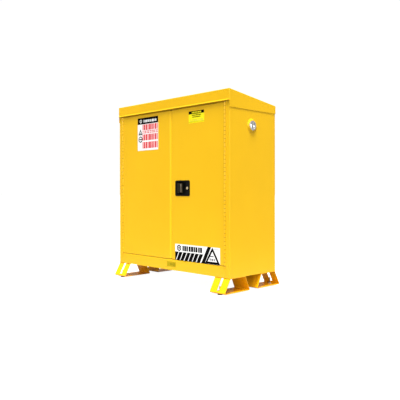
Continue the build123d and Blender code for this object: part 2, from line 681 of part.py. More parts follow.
def save_latch():
    save("latch_cup", latch_cup())
    save("paddle", paddle())
    save("paddle_pin", paddle_pin())
    save("lock_cylinder", lock_cylinder())
    save("latch_cam", latch_cam())
    save("cam_post", cam_post())
    save("latch_rod_top", latch_rod(-1, OPENING_Z[1] + STRIKE_REACH - 2))
    save("latch_rod_bottom", latch_rod(1, OPENING_Z[0] - STRIKE_REACH + 2))
    save_group("rod_guides", rod_guides())


def save_feet():
    for corner, shape in four_corners(foot()).items():
        save(f"foot_{corner}", shape)
    for corner, shape in four_corners(leveller()).items():
        save(f"leveller_{corner}", shape)
    save_group("leveller_nuts", four_corners(leveller_nut()).values())
    save_group("foot_bolts", foot_bolts())


os.makedirs("parts", exist_ok=True)
save_cabinet()
save_roof()
save_vents()
save_doors()
save_hinges()
save_latch()
save_feet()
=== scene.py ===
"""Looks of the two-door outdoor safety cabinet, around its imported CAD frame. Metres, doors towards -Y."""

import json
import math

import bmesh
import bpy
from mathutils import Matrix, Vector


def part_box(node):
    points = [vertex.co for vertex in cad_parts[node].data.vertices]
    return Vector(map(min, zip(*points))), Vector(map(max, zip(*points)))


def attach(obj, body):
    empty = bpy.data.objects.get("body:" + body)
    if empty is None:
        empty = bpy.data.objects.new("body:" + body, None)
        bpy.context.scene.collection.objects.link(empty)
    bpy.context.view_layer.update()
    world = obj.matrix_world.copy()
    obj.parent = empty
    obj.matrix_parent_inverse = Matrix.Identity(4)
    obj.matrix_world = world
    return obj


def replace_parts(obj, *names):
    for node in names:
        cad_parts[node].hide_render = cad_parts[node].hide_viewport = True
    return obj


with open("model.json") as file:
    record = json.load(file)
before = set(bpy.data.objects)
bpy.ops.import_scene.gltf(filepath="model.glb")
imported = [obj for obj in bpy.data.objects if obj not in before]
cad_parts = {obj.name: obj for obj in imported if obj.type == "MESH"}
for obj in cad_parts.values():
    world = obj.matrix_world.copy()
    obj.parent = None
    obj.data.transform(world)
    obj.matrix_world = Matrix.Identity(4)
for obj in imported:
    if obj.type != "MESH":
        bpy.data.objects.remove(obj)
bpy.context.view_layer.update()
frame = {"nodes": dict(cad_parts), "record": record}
NODES = frame["nodes"]

# ---- shared sizes -------------------------------------------------------------------------
MM = 0.001
SIDE_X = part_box("shell_right")[1].x
BACK_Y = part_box("back_panel")[1].y
BODY_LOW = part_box("bottom_pan")[0].z
BODY_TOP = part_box("top_panel")[1].z
INK = 0.12 * MM  # thickness of one layer of print


# ---- shader helpers -----------------------------------------------------------------------
class Shader:
    """A Principled material with a few short calls for its procedural inputs."""

    def __init__(self, name, roughness=0.5, metallic=0.0):
        self.material = bpy.data.materials.new(name)
        self.material.use_nodes = True
        self.nodes = self.material.node_tree.nodes
        self.links = self.material.node_tree.links
        self.bsdf = self.nodes["Principled BSDF"]
        self.bsdf.inputs["Roughness"].default_value = roughness
        self.bsdf.inputs["Metallic"].default_value = metallic
        self.place = self.nodes.new("ShaderNodeTexCoord").outputs["Object"]

    def set(self, **values):
        for key, value in values.items():
            self.bsdf.inputs[key.replace("_", " ")].default_value = value
        return self

    def stretched(self, scale):
        """Object coordinates scaled by a factor for each axis."""
        node = self.nodes.new("ShaderNodeMapping")
        node.inputs["Scale"].default_value = scale
        self.links.new(self.place, node.inputs["Vector"])
        return node.outputs["Vector"]

    def noise(self, scale, detail=3.0, rough=0.5, vector=None):
        node = self.nodes.new("ShaderNodeTexNoise")
        node.inputs["Scale"].default_value = scale
        node.inputs["Detail"].default_value = detail
        node.inputs["Roughness"].default_value = rough
        self.links.new(vector or self.place, node.inputs["Vector"])
        return node.outputs["Fac"]

    def cells(self, scale, feature="F1"):
        node = self.nodes.new("ShaderNodeTexVoronoi")
        node.feature = feature
        node.inputs["Scale"].default_value = scale
        self.links.new(self.place, node.inputs["Vector"])
        return node.outputs["Distance"]

    def ramp(self, fac, stops):
        node = self.nodes.new("ShaderNodeValToRGB")
        while len(node.color_ramp.elements) < len(stops):
            node.color_ramp.elements.new(1.0)
        for element, (position, colour) in zip(node.color_ramp.elements, stops):
            element.position = position
            element.color = (*colour, 1.0)
        self.links.new(fac, node.inputs["Fac"])
        return node.outputs["Color"]

    def span(self, fac, low, high, from_low=0.0, from_high=1.0):
        node = self.nodes.new("ShaderNodeMapRange")
        node.inputs["From Min"].default_value = from_low
        node.inputs["From Max"].default_value = from_high
        node.inputs["To Min"].default_value = low
        node.inputs["To Max"].default_value = high
        self.links.new(fac, node.inputs["Value"])
        return node.outputs["Result"]

    def mix(self, fac, first, second):
        node = self.nodes.new("ShaderNodeMix")
        node.data_type = "RGBA"
        self.links.new(fac, node.inputs["Factor"])
        self.links.new(first, node.inputs["A"])
        self.links.new(second, node.inputs["B"])
        return node.outputs["Result"]

    def colour(self, output):
        self.links.new(output, self.bsdf.inputs["Base Color"])
        return self

    def rough(self, output):
        self.links.new(output, self.bsdf.inputs["Roughness"])
        return self

    def bumps(self, *layers):
        """Stacks (height output, distance in metres) layers into the normal."""
        normal = None
        for height, distance in layers:
            node = self.nodes.new("ShaderNodeBump")
            node.inputs["Distance"].default_value = distance
            self.links.new(height, node.inputs["Height"])
            if normal:
                self.links.new(normal, node.inputs["Normal"])
            normal = node.outputs["Normal"]
        self.links.new(normal, self.bsdf.inputs["Normal"])
        return self


def shade(colour, factor):
    return tuple(channel * factor for channel in colour)


def grey(level):
    return (level, level, level)


# ---- materials ----------------------------------------------------------------------------
PAINT = (0.59, 0.338, 0.0050)
# The feet take a darker, more orange copy of the body's yellow: painted shade on the feet.
FOOT_PAINT = (0.62, 0.265, 0.0018)
INNER_PAINT = (0.60, 0.34, 0.010)


def powder_coat(name, colour, gloss=0.34):
    """Baked powder coat: faint orange peel, a little drift in colour, fine dust in the gloss."""
    s = Shader(name)
    drift = s.noise(2.3, 4.0, 0.55)
    speck = s.noise(620.0, 2.0)
    s.colour(s.mix(s.span(speck, 0.0, 0.16, 0.45, 0.8),
                   s.ramp(drift, [(0.3, shade(colour, 0.965)), (0.7, shade(colour, 1.03))]),
                   s.ramp(speck, [(0.0, shade(colour, 0.8)), (1.0, shade(colour, 1.08))])))
    s.rough(s.span(s.noise(7.0, 5.0, 0.6), gloss - 0.05, gloss + 0.07))
    s.bumps((s.noise(310.0, 2.0), 0.00012), (s.noise(9.0, 2.0), 0.0006))
    return s.set(IOR=1.5, Specular_IOR_Level=0.28, Coat_Weight=0.05, Coat_Roughness=0.18).material


def scuffed_coat(name, colour):
    """Powder coat of a part that takes knocks: as above, with faint scuffs that dull it."""
    s = Shader(name)
    scuff = s.noise(46.0, 8.0, 0.72, s.stretched((1.0, 1.0, 0.35)))
    drift = s.noise(5.0, 4.0)
    s.colour(s.mix(s.span(scuff, 0.0, 0.5, 0.60, 0.74),
                   s.ramp(drift, [(0.3, shade(colour, 0.96)), (0.7, shade(colour, 1.03))]),
                   s.ramp(scuff, [(0.0, shade(colour, 0.7)), (1.0, shade(colour, 0.82))])))
    s.rough(s.span(scuff, 0.22, 0.52, 0.4, 0.75))
    s.bumps((s.noise(260.0, 2.0), 0.00014), (scuff, 0.00008))
    return s.set(IOR=1.5, Specular_IOR_Level=0.35, Coat_Weight=0.12, Coat_Roughness=0.12).material


def plated_steel(name, colour, grain=(1.0, 1.0, 22.0), gloss=0.32):
    """Zinc plated or bright steel: streaked brushing with cloudy spots."""
    s = Shader(name, metallic=1.0)
    streak = s.noise(420.0, 4.0, 0.6, s.stretched(grain))
    cloud = s.noise(75.0, 5.0, 0.6)
    s.colour(s.mix(s.span(cloud, 0.0, 0.6, 0.4, 0.75),
                   s.ramp(streak, [(0.25, shade(colour, 0.84)), (0.8, shade(colour, 1.1))]),
                   s.ramp(cloud, [(0.3, shade(colour, 0.66)), (0.8, shade(colour, 0.9))])))
    s.rough(s.span(cloud, gloss - 0.08, gloss + 0.16, 0.3, 0.75))
    s.bumps((streak, 0.00006))
    return s.material


def polished_cap(name):
    """Turned bung: polished nearly to a mirror, with smears and a slight haze over it."""
    s = Shader(name, metallic=0.82)
    smear = s.noise(60.0, 4.0, 0.6)
    s.colour(s.ramp(smear, [(0.3, (0.70, 0.70, 0.72)), (0.75, (0.92, 0.91, 0.89))]))
    s.rough(s.span(smear, 0.07, 0.2, 0.3, 0.8))
    s.bumps((s.noise(900.0, 1.0), 0.00002), (s.noise(35.0, 2.0), 0.0003))
    return s.material


def brass(name):
    """Dull brass with cloudy tarnish."""
    s = Shader(name, metallic=0.55)
    tarnish = s.noise(140.0, 6.0, 0.65)
    tones = [(0.25, (0.42, 0.30, 0.13)), (0.55, (0.68, 0.55, 0.32)), (0.85, (0.82, 0.72, 0.48))]
    s.colour(s.ramp(tarnish, tones))
    s.rough(s.span(tarnish, 0.24, 0.42))
    s.bumps((s.noise(1100.0, 2.0), 0.00003))
    return s.material


def moulded(name, colour, gloss=0.42, grain=780.0):
    """Textured moulding: leather-like spark-eroded grain and slight gloss patches."""
    s = Shader(name)
    cell = s.cells(grain)
    drift = s.noise(30.0, 4.0)
    s.colour(s.ramp(drift, [(0.3, shade(colour, 0.8)), (0.75, shade(colour, 1.25))]))
    s.rough(s.span(drift, gloss - 0.06, gloss + 0.12))
    s.bumps((cell, 0.00012), (s.noise(240.0, 3.0), 0.00006))
    return s.set(Specular_IOR_Level=0.1).material


def vinyl(name, colour, gloss=0.28, shine=0.1):
    """Printed vinyl film: smooth, with faint ripples where it was rubbed on."""
    s = Shader(name)
    ripple = s.noise(26.0, 3.0)
    s.colour(s.ramp(ripple, [(0.3, shade(colour, 0.95)), (0.75, shade(colour, 1.03))]))
    s.rough(s.span(s.noise(90.0, 4.0), gloss - 0.05, gloss + 0.08))
    s.bumps((ripple, 0.00025), (s.noise(1500.0, 2.0), 0.00001))
    return s.set(Specular_IOR_Level=shine).material


def rubber(name):
    s = Shader(name)
    bloom = s.noise(55.0, 6.0, 0.65)
    s.colour(s.ramp(bloom, [(0.35, (0.014, 0.014, 0.015)), (0.8, (0.05, 0.049, 0.047))]))
    s.rough(s.span(bloom, 0.62, 0.82))
    s.bumps((s.noise(700.0, 3.0), 0.0001))
    return s.material


def make_materials():
    return {
        "body_paint": powder_coat("body_paint", PAINT),
        "door_paint": powder_coat("door_paint", PAINT, 0.33),
        "inner_paint": powder_coat("inner_paint", INNER_PAINT, 0.42),
        "hinge_paint": scuffed_coat("hinge_paint", PAINT),
        # the feet's darker, more orange yellow is painted shade
        "foot_paint": scuffed_coat("foot_paint", FOOT_PAINT),
        "zinc": plated_steel("zinc", (0.60, 0.61, 0.60)),
        "steel": plated_steel("steel", (0.52, 0.52, 0.53), gloss=0.26),
        "polished": polished_cap("polished"),
        "brass": brass("brass"),
        "black_plastic": moulded("black_plastic", (0.0045, 0.0045, 0.0038)),
        "olive_plastic": moulded("olive_plastic", (0.020, 0.017, 0.009), 0.38, 620.0),
        # lighter plastic for the pull's finger edge: a painted highlight
        "painted_edge_highlight": moulded("painted_edge_highlight", (0.13, 0.10, 0.07), 0.38, 620.0),
        # dark brown coat for the levelling studs: a painted reflection of the yellow paint round them, in
        # shade
        "stud_reflection_brown": scuffed_coat("stud_reflection_brown", (0.20, 0.115, 0.02)),
        # shaded yellow-brown for the rings between hinge knuckles: painted shade of the knuckle gaps
        "knuckle_gap_shade": moulded("knuckle_gap_shade", (0.16, 0.095, 0.004), 0.5),
        "label_white": vinyl("label_white", (0.64, 0.64, 0.63)),
        "label_yellow": vinyl("label_yellow", (0.66, 0.58, 0.010)),
        "plate_olive": vinyl("plate_olive", (0.36, 0.255, 0.003), 0.35),
        "ink_olive": vinyl("ink_olive", (0.20, 0.150, 0.002), 0.35),
        "ink_black": vinyl("ink_black", (0.003, 0.003, 0.003), 0.35, 0.01),
        "ink_red": vinyl("ink_red", (0.50, 0.016, 0.022), 0.3),
        "ink_grey": vinyl("ink_grey", (0.10, 0.10, 0.11), 0.3),
        "ink_pale": vinyl("ink_pale", (0.64, 0.64, 0.64), 0.3),
        "rubber": rubber("rubber"),
    }


def paint_cad_nodes(materials):
    """Gives each carried-over CAD node the detailed material of its slot."""
    for part in frame["record"]["subparts"]:
        node = NODES[part["node"]]
        node.data.materials.clear()
        node.data.materials.append(materials[part["material_slot"]])


# ---- mesh helpers -------------------------------------------------------------------------
def finish_mesh(bm, name):
    bmesh.ops.recalc_face_normals(bm, faces=bm.faces)
    mesh = bpy.data.meshes.new(name)
    bm.to_mesh(mesh)
    bm.free()
    mesh.shade_smooth()
    mesh.set_sharp_from_angle(angle=math.radians(38))
    return mesh


def new_piece(name, bm, body, slot, finish=None):
    """Adds a mesh as a piece that rides on a CAD body, in its slot's material or in another finish."""
    piece = bpy.data.objects.new(name, finish_mesh(bm, name))
    bpy.context.scene.collection.objects.link(piece)
    piece.data.materials.append(materials[finish or slot])
    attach(piece, body)
    return piece


def axis_frame(origin, direction):
    """Matrix that takes local +Z to a direction, from a point."""
    turn = Vector(direction).to_track_quat("Z", "Y").to_matrix()
    return Matrix.Translation(origin) @ turn.to_4x4()


def skin(bm, rings, matrix=Matrix()):
    """A closed surface over rings of points, capped at both ends."""
    loops = [[bm.verts.new(matrix @ Vector(point)) for point in ring] for ring in rings]
    for low, high in zip(loops, loops[1:]):
        for index, vert in enumerate(low):
            after = (index + 1) % len(low)
            bm.faces.new((vert, low[after], high[after], high[index]))
    bm.faces.new(list(reversed(loops[0])))
    bm.faces.new(loops[-1])


def circle(radius, height, count):
    steps = [2 * math.pi * step / count for step in range(count)]
    return [(radius * math.cos(angle), radius * math.sin(angle), height) for angle in steps]


def turned(bm, profile, matrix, count=32):
    """A solid of revolution from (radius, height) points."""
    skin(bm, [circle(max(radius, 0.02 * MM), height, count) for radius, height in profile], matrix)


def washer_ring(bm, profile, matrix, count=32):
    """A ring of revolution from a closed (radius, height) outline."""
    loops = [[bm.verts.new(matrix @ Vector(point)) for point in circle(radius, height, count)]
             for radius, height in profile]
    for low, high in zip(loops, loops[1:] + loops[:1]):
        for index, vert in enumerate(low):
            after = (index + 1) % count
            bm.faces.new((vert, low[after], high[after], high[index]))


def tube(bm, path, radius, sides=8):
    """A round bar along a path. radius is one number, or one for each point."""
    points = [Vector(point) for point in path]
    radii = [radius] * len(points) if isinstance(radius, float) else radius
    side = (points[1] - points[0]).orthogonal().normalized()
    rings = []
    for index, point in enumerate(points):
        along = (points[min(index + 1, len(points) - 1)] - points[max(index - 1, 0)]).normalized()
        side = (side - along * side.dot(along)).normalized()
        other = along.cross(side)
        rings.append([point + side * x + other * y for x, y, _ in circle(radii[index], 0.0, sides)])
    skin(bm, rings)


def hexagon(bm, matrix, across_flats, height, count=48):
    """A nut or bolt head: six flats, with both ends chamfered to a circle."""
    flat = across_flats / 2
    bevel = 0.16 * flat
    levels = [(0.0, 0.0), (bevel / 2, 0.5), (bevel, 1.0)]
    levels += [(height - level, share) for level, share in reversed(levels)]
    rings = []
    for level, share in levels:
        ring = []
        for x, y, _ in circle(1.0, 0.0, count):
            corner = math.atan2(y, x) % (math.pi / 3) - math.pi / 6
            reach = min(flat / math.cos(corner), flat * (1.0 + 0.16 * share))
            ring.append((x * reach, y * reach, level))
        rings.append(ring)
    skin(bm, rings, matrix)


def threaded(bm, matrix, radius, pitch, length, count=20):
    """A stud with a real helical thread whose crest is at the radius."""
    depth = 0.55 * pitch
    rows = int(length / pitch * 4)
    rings = []
    for row in range(rows + 1):
        height = length * row / rows
        ring = []
        for step, (x, y, _) in enumerate(circle(1.0, 0.0, count)):
            turn = (height / pitch - step / count) % 1.0
            reach = radius - depth * abs(2 * turn - 1)
            ring.append((x * reach, y * reach, height))
        rings.append(ring)
    skin(bm, rings, matrix)


def prism(bm, outline, low_y, high_y, inner=None):
    """A closed plate between two Y planes over an outline of (x, z) points, open over an inner outline."""
    def loop(points, y):
        return [bm.verts.new((x, y, z)) for x, z in points]

    def wall(first, second):
        for index, vert in enumerate(first):
            after = (index + 1) % len(first)
            bm.faces.new((vert, first[after], second[after], second[index]))

    front, back = loop(outline, low_y), loop(outline, high_y)
    wall(front, back)
    if inner:
        front_hole, back_hole = loop(inner, low_y), loop(inner, high_y)
        wall(front_hole, back_hole)
        wall(front, front_hole)
        wall(back, back_hole)
    else:
        bm.faces.new(front)
        bm.faces.new(list(reversed(back)))


def cross_head(bm, matrix, radius, height):
    """A domed screw head whose top is pressed in along a cross."""
    count = 48
    rings = [circle(radius, 0.0, count)]
    for share in (1.0, 0.9, 0.72, 0.5, 0.3, 0.12):
        ring = []
        for x, y, _ in circle(share * radius, 0.0, count):
            crest = height * (1 - 0.45 * share ** 3)
            in_cross = min(abs(x), abs(y)) < 0.15 * radius and share < 0.8
            ring.append((x, y, crest - (0.55 * height if in_cross else 0.0)))
        rings.append(ring)
    skin(bm, rings, matrix)


def spot_weld(bm, place, direction, radius=3.4 * MM):
    """The shallow ring that a spot welding tip leaves."""
    profile = [(radius, 0), (radius - 0.5 * MM, 0.22 * MM),
               (radius - 1.1 * MM, 0.22 * MM), (radius - 1.6 * MM, 0.05 * MM)]
    turned(bm, profile, axis_frame(place, direction), 20)


def rippled(length, step, radius, swell):
    """Radii along a weld bead, which swells a little at each ripple."""
    count = max(2, int(length / step))
    return count, [radius * (1 + swell * math.sin(1.9 * index)) for index in range(count + 1)]


def weld_line(bm, start, end, radius=1.6 * MM, step=2.5 * MM):
    """A straight rippled weld bead."""
    start, end = Vector(start), Vector(end)
    count, radii = rippled((end - start).length, step, radius, 0.18)
    tube(bm, [start.lerp(end, index / count) for index in range(count + 1)], radii, 6)


def rivet(bm, place, direction, radius=3.6 * MM, height=1.3 * MM):
    """A low domed head."""
    steps = [math.pi / 2 * index / 5 for index in range(6)]
    profile = [(radius * math.cos(angle), height * math.sin(angle)) for angle in steps]
    turned(bm, profile, axis_frame(place, direction), 20)


def rounded_rectangle(centre, width, height, radius, corner_steps=5):
    """(x, z) points round a rectangle with round corners."""
    points = []
    for quarter, (sx, sz) in enumerate(((1, 1), (-1, 1), (-1, -1), (1, -1))):
        for step in range(corner_steps + 1):
            angle = math.pi / 2 * (quarter + step / corner_steps)
            points.append((centre.x + sx * (width / 2 - radius) + radius * math.cos(angle),
                           centre.z + sz * (height / 2 - radius) + radius * math.sin(angle)))
    return points


# ---- labels: generic marks and bars, with no lettering -----------------------------------
BOLD = (2, 1, 3, 1, 3, 1, 2, 1, 4, 1, 3, 1, 2, 1, 3, 1, 2)
HEAVY = (4, 1, 5, 1, 4, 2, 5, 1, 6, 1, 4, 1, 5, 2, 4, 1, 5)
FINE = (3, 2, 2, 1, 4, 2, 2, 1, 3, 2, 3, 1, 2, 2, 4, 1, 3, 2, 2, 1, 3)


class Print:
    """One ink on a label: closed shapes just proud of its face, in mm from its lower left corner."""

    def __init__(self, node, layer=0):
        low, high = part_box(node)
        self.corner = low
        self.width = (high.x - low.x) / MM
        self.height = (high.z - low.z) / MM
        self.back = low.y - layer * INK
        self.bm = bmesh.new()

    def shape(self, outline, inner=None):
        def placed(points):
            return [(self.corner.x + x * MM, self.corner.z + z * MM) for x, z in points]

        prism(self.bm, placed(outline), self.back - INK, self.back, placed(inner) if inner else None)

    def bar(self, left, low, right, high, lean=0.0):
        self.shape([(left, low), (right, low), (right + lean, high), (left + lean, high)])

    def bars(self, left, low, right, high, rhythm):
        """A row of upright bars and gaps with these relative widths, which stands in for a line of text."""
        unit = (right - left) / sum(rhythm)
        start = left
        for index, width in enumerate(rhythm):
            if index % 2 == 0:
                self.bar(start, low, start + width * unit, high)
            start += width * unit

    def polygon(self, centre, radius, sides, thickness=0.0, turn=0.0):
        """A regular polygon or its outline. Many sides make a disc or a ring."""
        def points(reach):
            angles = [turn + 2 * math.pi * step / sides for step in range(sides)]
            return [(centre[0] + reach * math.sin(a), centre[1] - reach * math.cos(a)) for a in angles]

        self.shape(points(radius), points(radius - thickness) if thickness else None)

    def add(self, name, body, slot, finish):
        new_piece(name, self.bm, body, slot, finish)


def triangle_outline(label, left, right, low, high, thickness):
    """A triangle frame whose sides are as thick as its base."""
    middle = (left + right) / 2
    outer = [(left, low), (right, low), (middle, high)]
    slope = math.hypot((right - left) / 2, high - low) / (high - low)
    base_in = thickness * (slope + (right - left) / 2 / (high - low))
    tip_in = thickness * slope * (high - low) / ((right - left) / 2)
    inner = [(left + base_in, low + thickness), (right - base_in, low + thickness), (middle, high - tip_in)]
    label.shape(outer, inner)


def left_door_label():
    node, body, slot = "door_left_label", "left_door", "label_white"
    header = Print(node)
    top = header.height
    header.bar(0, top - 45, header.width, top)
    header.add("label_left_header", body, slot, "ink_black")

    mark = Print(node, 1)
    mark.polygon((35, top - 24), 13, 6, 5)
    mark.bars(66, top - 33, 203, top - 16, FINE)
    mark.add("label_left_mark", body, slot, "ink_pale")

    words = Print(node)
    for high, low in ((48, 88), (117, 160), (171, 216)):
        words.bars(54, top - low, 216, top - high, BOLD)
    for high in (92, 103):
        words.bars(54, top - high - 8, 216, top - high, FINE)
    words.add("label_left_words", body, slot, "ink_red")

    symbols = Print(node)
    triangle_outline(symbols, 8, 54, top - 120, top - 78, 7)
    symbols.polygon((31, top - 108), 4, 12)
    symbols.polygon((31, top - 151), 22, 36, 7)
    symbols.bar(18, top - 155, 44, top - 147)
    symbols.add("label_left_symbols", body, slot, "ink_black")


def upper_right_label():
    node, body, slot = "door_right_label_upper", "right_door", "label_yellow"
    header = Print(node)
    top = header.height
    header.bar(0, top - 19, header.width, top)
    header.bars(28, top - 31, 112, top - 24, BOLD)
    header.bars(34, top - 42, 106, top - 36, BOLD)
    header.bar(0, 6, header.width, 7.2)
    header.add("label_upper_header", body, slot, "ink_black")

    mark = Print(node, 1)
    mark.bars(30, top - 15, 112, top - 5, FINE)
    mark.add("label_upper_mark", body, slot, "label_yellow")

    lines = Print(node)
    for low in (12, 20):
        lines.bars(14, low, 126, low + 1.8, FINE)
    lines.add("label_upper_lines", body, slot, "ink_grey")


def lower_right_label():
    node, body, slot = "door_right_label_lower", "right_door", "label_white"
    black = Print(node)
    lean = 28.0  # run of a slanted stripe over half of the label's height
    for index in range(6):
        left = 13 + 37.5 * index
        black.bar(left, 0, left + 31, 54, lean)
    black.shape([(0, 0), (6.5, 0), (6.5 + lean, 54), (0, 54)])
    black.bar(243, 0, 273, black.height, 2 * lean)
    triangle_outline(black, 274, 405, 0.5, 104, 14)
    black.add("label_lower_stripes", body, slot, "ink_black")

    mark = Print(node)
    mark.polygon((38, 79), 22, 6, 9)
    mark.polygon((38, 79), 8, 6)
    mark.bars(70, 62, 250, 95, HEAVY)
    mark.add("label_lower_mark", body, slot, "ink_black")

    small = Print(node)
    small.bar(318, 44, 350, 51)
    small.bars(316, 20, 360, 34, (3, 2, 4, 2, 3))
    small.bars(354, 91, 394, 94, FINE)
    small.add("label_lower_symbols", body, slot, "ink_grey")


def sill_plate():
    plate = Print("approval_plate")
    plate.polygon((17, 17), 9, 4, 3, math.pi / 4)
    plate.bars(33, 9, 56, 25, (4, 2, 3, 2, 4))
    plate.bars(62, 6, 84, 28, (5, 2, 4, 2, 5))
    plate.add("approval_plate_print", "cabinet", "plate_olive", "ink_olive")


# ---- roof and body details ----------------------------------------------------------------
HEM_HEIGHT = 8 * MM
HEM_PROUD = 2.6 * MM
HEM_ROLL = 1.4 * MM  # radius of the rolled edge
FASCIA_BELOW_TOP = 7.5 * MM


def fascia_hem():
    """Rolled hem on the fascia's lower edge: flares out downwards, then turns under."""
    low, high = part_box("roof_cap")
    face, edge = low.y, BODY_TOP - FASCIA_BELOW_TOP
    back = face + 0.6 * MM
    profile = [(back, edge + HEM_HEIGHT)]
    for step in range(6):
        share = step / 5
        profile.append((face - HEM_PROUD * share ** 1.2, edge + HEM_HEIGHT - (HEM_HEIGHT - HEM_ROLL) * share))
    for step in range(1, 7):
        angle = math.pi * step / 7
        y = face - HEM_PROUD + HEM_ROLL * (1 - math.cos(angle))
        profile.append((y, edge + HEM_ROLL * (1 - math.sin(angle))))
    profile.append((back, edge + HEM_ROLL))
    inset = 1.5 * MM
    bm = bmesh.new()
    skin(bm, [[(x, y, z) for y, z in profile] for x in (low.x + inset, high.x - inset)])
    new_piece("fascia_hem", bm, "cabinet", "body_paint")


def roof_screw_heads():
    """Pan heads with a cross recess, each on a washer."""
    low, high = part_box("roof_screws")
    radius = (high.z - low.z) / 2
    reach = high.x - radius
    bm = bmesh.new()
    for x in (-reach, 0.0, reach):
        place = axis_frame((x, low.y, low.z + radius), (0, 1, 0))
        turned(bm, [(radius, 0), (radius, 0.6 * MM), (radius - 0.5 * MM, 0.9 * MM)], place)
        cross_head(bm, place @ Matrix.Translation((0, 0, 0.9 * MM)), 0.72 * radius, 1.6 * MM)
    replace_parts(new_piece("roof_screw_heads", bm, "cabinet", "zinc"), "roof_screws")


def back_spot_welds():
    """Rows of welds where the back panel laps the side panels and the bottom."""
    bm = bmesh.new()
    margin = 13 * MM
    low, high = BODY_LOW + margin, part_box("roof_cap")[0].z - 2 * margin
    rows, columns = 15, 14
    for side in (-1, 1):
        for row in range(rows):
            z = low + (high - low) * row / (rows - 1)
            spot_weld(bm, (side * (SIDE_X - margin), BACK_Y, z), (0, 1, 0))
    for column in range(1, columns):
        spot_weld(bm, (-SIDE_X + 2 * SIDE_X * column / columns, BACK_Y, low), (0, 1, 0))
    new_piece("back_spot_welds", bm, "cabinet", "body_paint")


def tray_welds():
    """Leak-tight weld beads in the tray's four upright corners and along its floor."""
    low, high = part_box("spill_tray")
    wall = 1.2 * MM
    x, front, back = high.x - wall, low.y + wall, high.y - wall
    floor = low.z + wall
    bm = bmesh.new()
    for side in (-1, 1):
        weld_line(bm, (side * x, front, floor), (side * x, back, floor))
        for y in (front, back):
            weld_line(bm, (side * x, y, floor), (side * x, y, high.z - 3 * MM))
    for y in (front, back):
        weld_line(bm, (-x, y, floor), (x, y, floor))
    new_piece("tray_welds", bm, "cabinet", "inner_paint")


def shelf_beads():
    """Two pressed stiffening beads along the shelf."""
    low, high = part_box("shelf")
    reach, count = high.x - 60 * MM, 40
    arch = [(math.cos(math.pi * step / 8), math.sin(math.pi * step / 8)) for step in range(9)]
    bm = bmesh.new()
    for share in (0.3, 0.7):
        y = low.y + (high.y - low.y) * share
        rings = []
        for index in range(count + 1):
            x = -reach + 2 * reach * index / count
            swell = min(1.0, index / 2, (count - index) / 2)
            half_width = 9 * MM * (0.35 + 0.65 * swell)
            height = 2.2 * MM * (0.05 + 0.95 * swell)
            rings.append([(x, y + half_width * u, high.z + height * v) for u, v in arch])
        skin(bm, rings)
    new_piece("shelf_beads", bm, "cabinet", "inner_paint")


def shelf_pegs():
    """Rivets that hold the shelf's brackets to the side liners."""
    low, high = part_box("shelf_hangers")
    bm = bmesh.new()
    for side in (-1, 1):
        for y in (low.y + 20 * MM, high.y - 20 * MM):
            for drop in (14 * MM, 28 * MM):
                rivet(bm, (side * (high.x - 2 * MM), y, high.z - drop), (-side, 0, 0))
    new_piece("shelf_pegs", bm, "cabinet", "zinc")


# ---- doors --------------------------------------------------------------------------------
def hinge_rivets():
    """Rivets through the hinge leaves, into the frame's jamb and the door's edge."""
    rows, end = 13, 37 * MM
    for side, name in ((1, "right"), (-1, "left")):
        for leaf, body, inward in (("frame", "cabinet", -1), ("door", f"{name}_door", 1)):
            low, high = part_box(f"hinge_{name}_{leaf}_leaf")
            outer = max(abs(low.x), abs(high.x)) if leaf == "frame" else min(abs(low.x), abs(high.x))
            face = outer + inward * 1.5 * MM
            bm = bmesh.new()
            for row in range(rows):
                z = low.z + end + (high.z - low.z - 2 * end) * row / (rows - 1)
                rivet(bm, (side * face, high.y - 10 * MM, z), (side * inward, 0, 0), 3.4 * MM, 1.1 * MM)
            new_piece(f"hinge_rivets_{name}_{leaf}", bm, body, "zinc")


KNUCKLES = 40


def hinge_shade_rings():
    """Rings between the knuckles of each hinge, in a shaded yellow-brown that is painted shade for the gaps
    between the knuckles.
    """
    profile = [(3.0 * MM, -1.1 * MM), (5.7 * MM, -1.1 * MM), (6.1 * MM, -0.6 * MM),
               (6.1 * MM, 0.6 * MM), (5.7 * MM, 1.1 * MM), (3.0 * MM, 1.1 * MM)]
    for name in ("left", "right"):
        low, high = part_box(f"hinge_{name}_frame_leaf")
        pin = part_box(f"hinge_{name}_pin")
        axis = (pin[0] + pin[1]) / 2
        bm = bmesh.new()
        for gap in range(1, KNUCKLES):
            z = low.z + (high.z - low.z) * gap / KNUCKLES
            washer_ring(bm, profile, Matrix.Translation((axis.x, axis.y, z)), 16)
        # the rings' yellow-brown colour is painted shade for the gaps between the knuckles
        new_piece(f"hinge_shade_rings_{name}", bm, "cabinet", "hinge_paint", "knuckle_gap_shade")


def door_back_welds():
    """Spot welds round the inner pan of each door."""
    rows, columns = 14, 6
    margin, end_x, end_z = 9 * MM, 50 * MM, 60 * MM
    for name in ("left", "right"):
        low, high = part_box(f"door_{name}_inner")
        bm = bmesh.new()
        for row in range(rows):
            z = low.z + end_z + (high.z - low.z - 2 * end_z) * row / (rows - 1)
            for x in (low.x + margin, high.x - margin):
                spot_weld(bm, (x, high.y, z), (0, 1, 0), 2.8 * MM)
        for column in range(columns):
            x = low.x + end_x + (high.x - low.x - 2 * end_x) * column / (columns - 1)
            for z in (low.z + margin, high.z - margin):
                spot_weld(bm, (x, high.y, z), (0, 1, 0), 2.8 * MM)
        new_piece(f"door_{name}_welds", bm, f"{name}_door", "inner_paint")


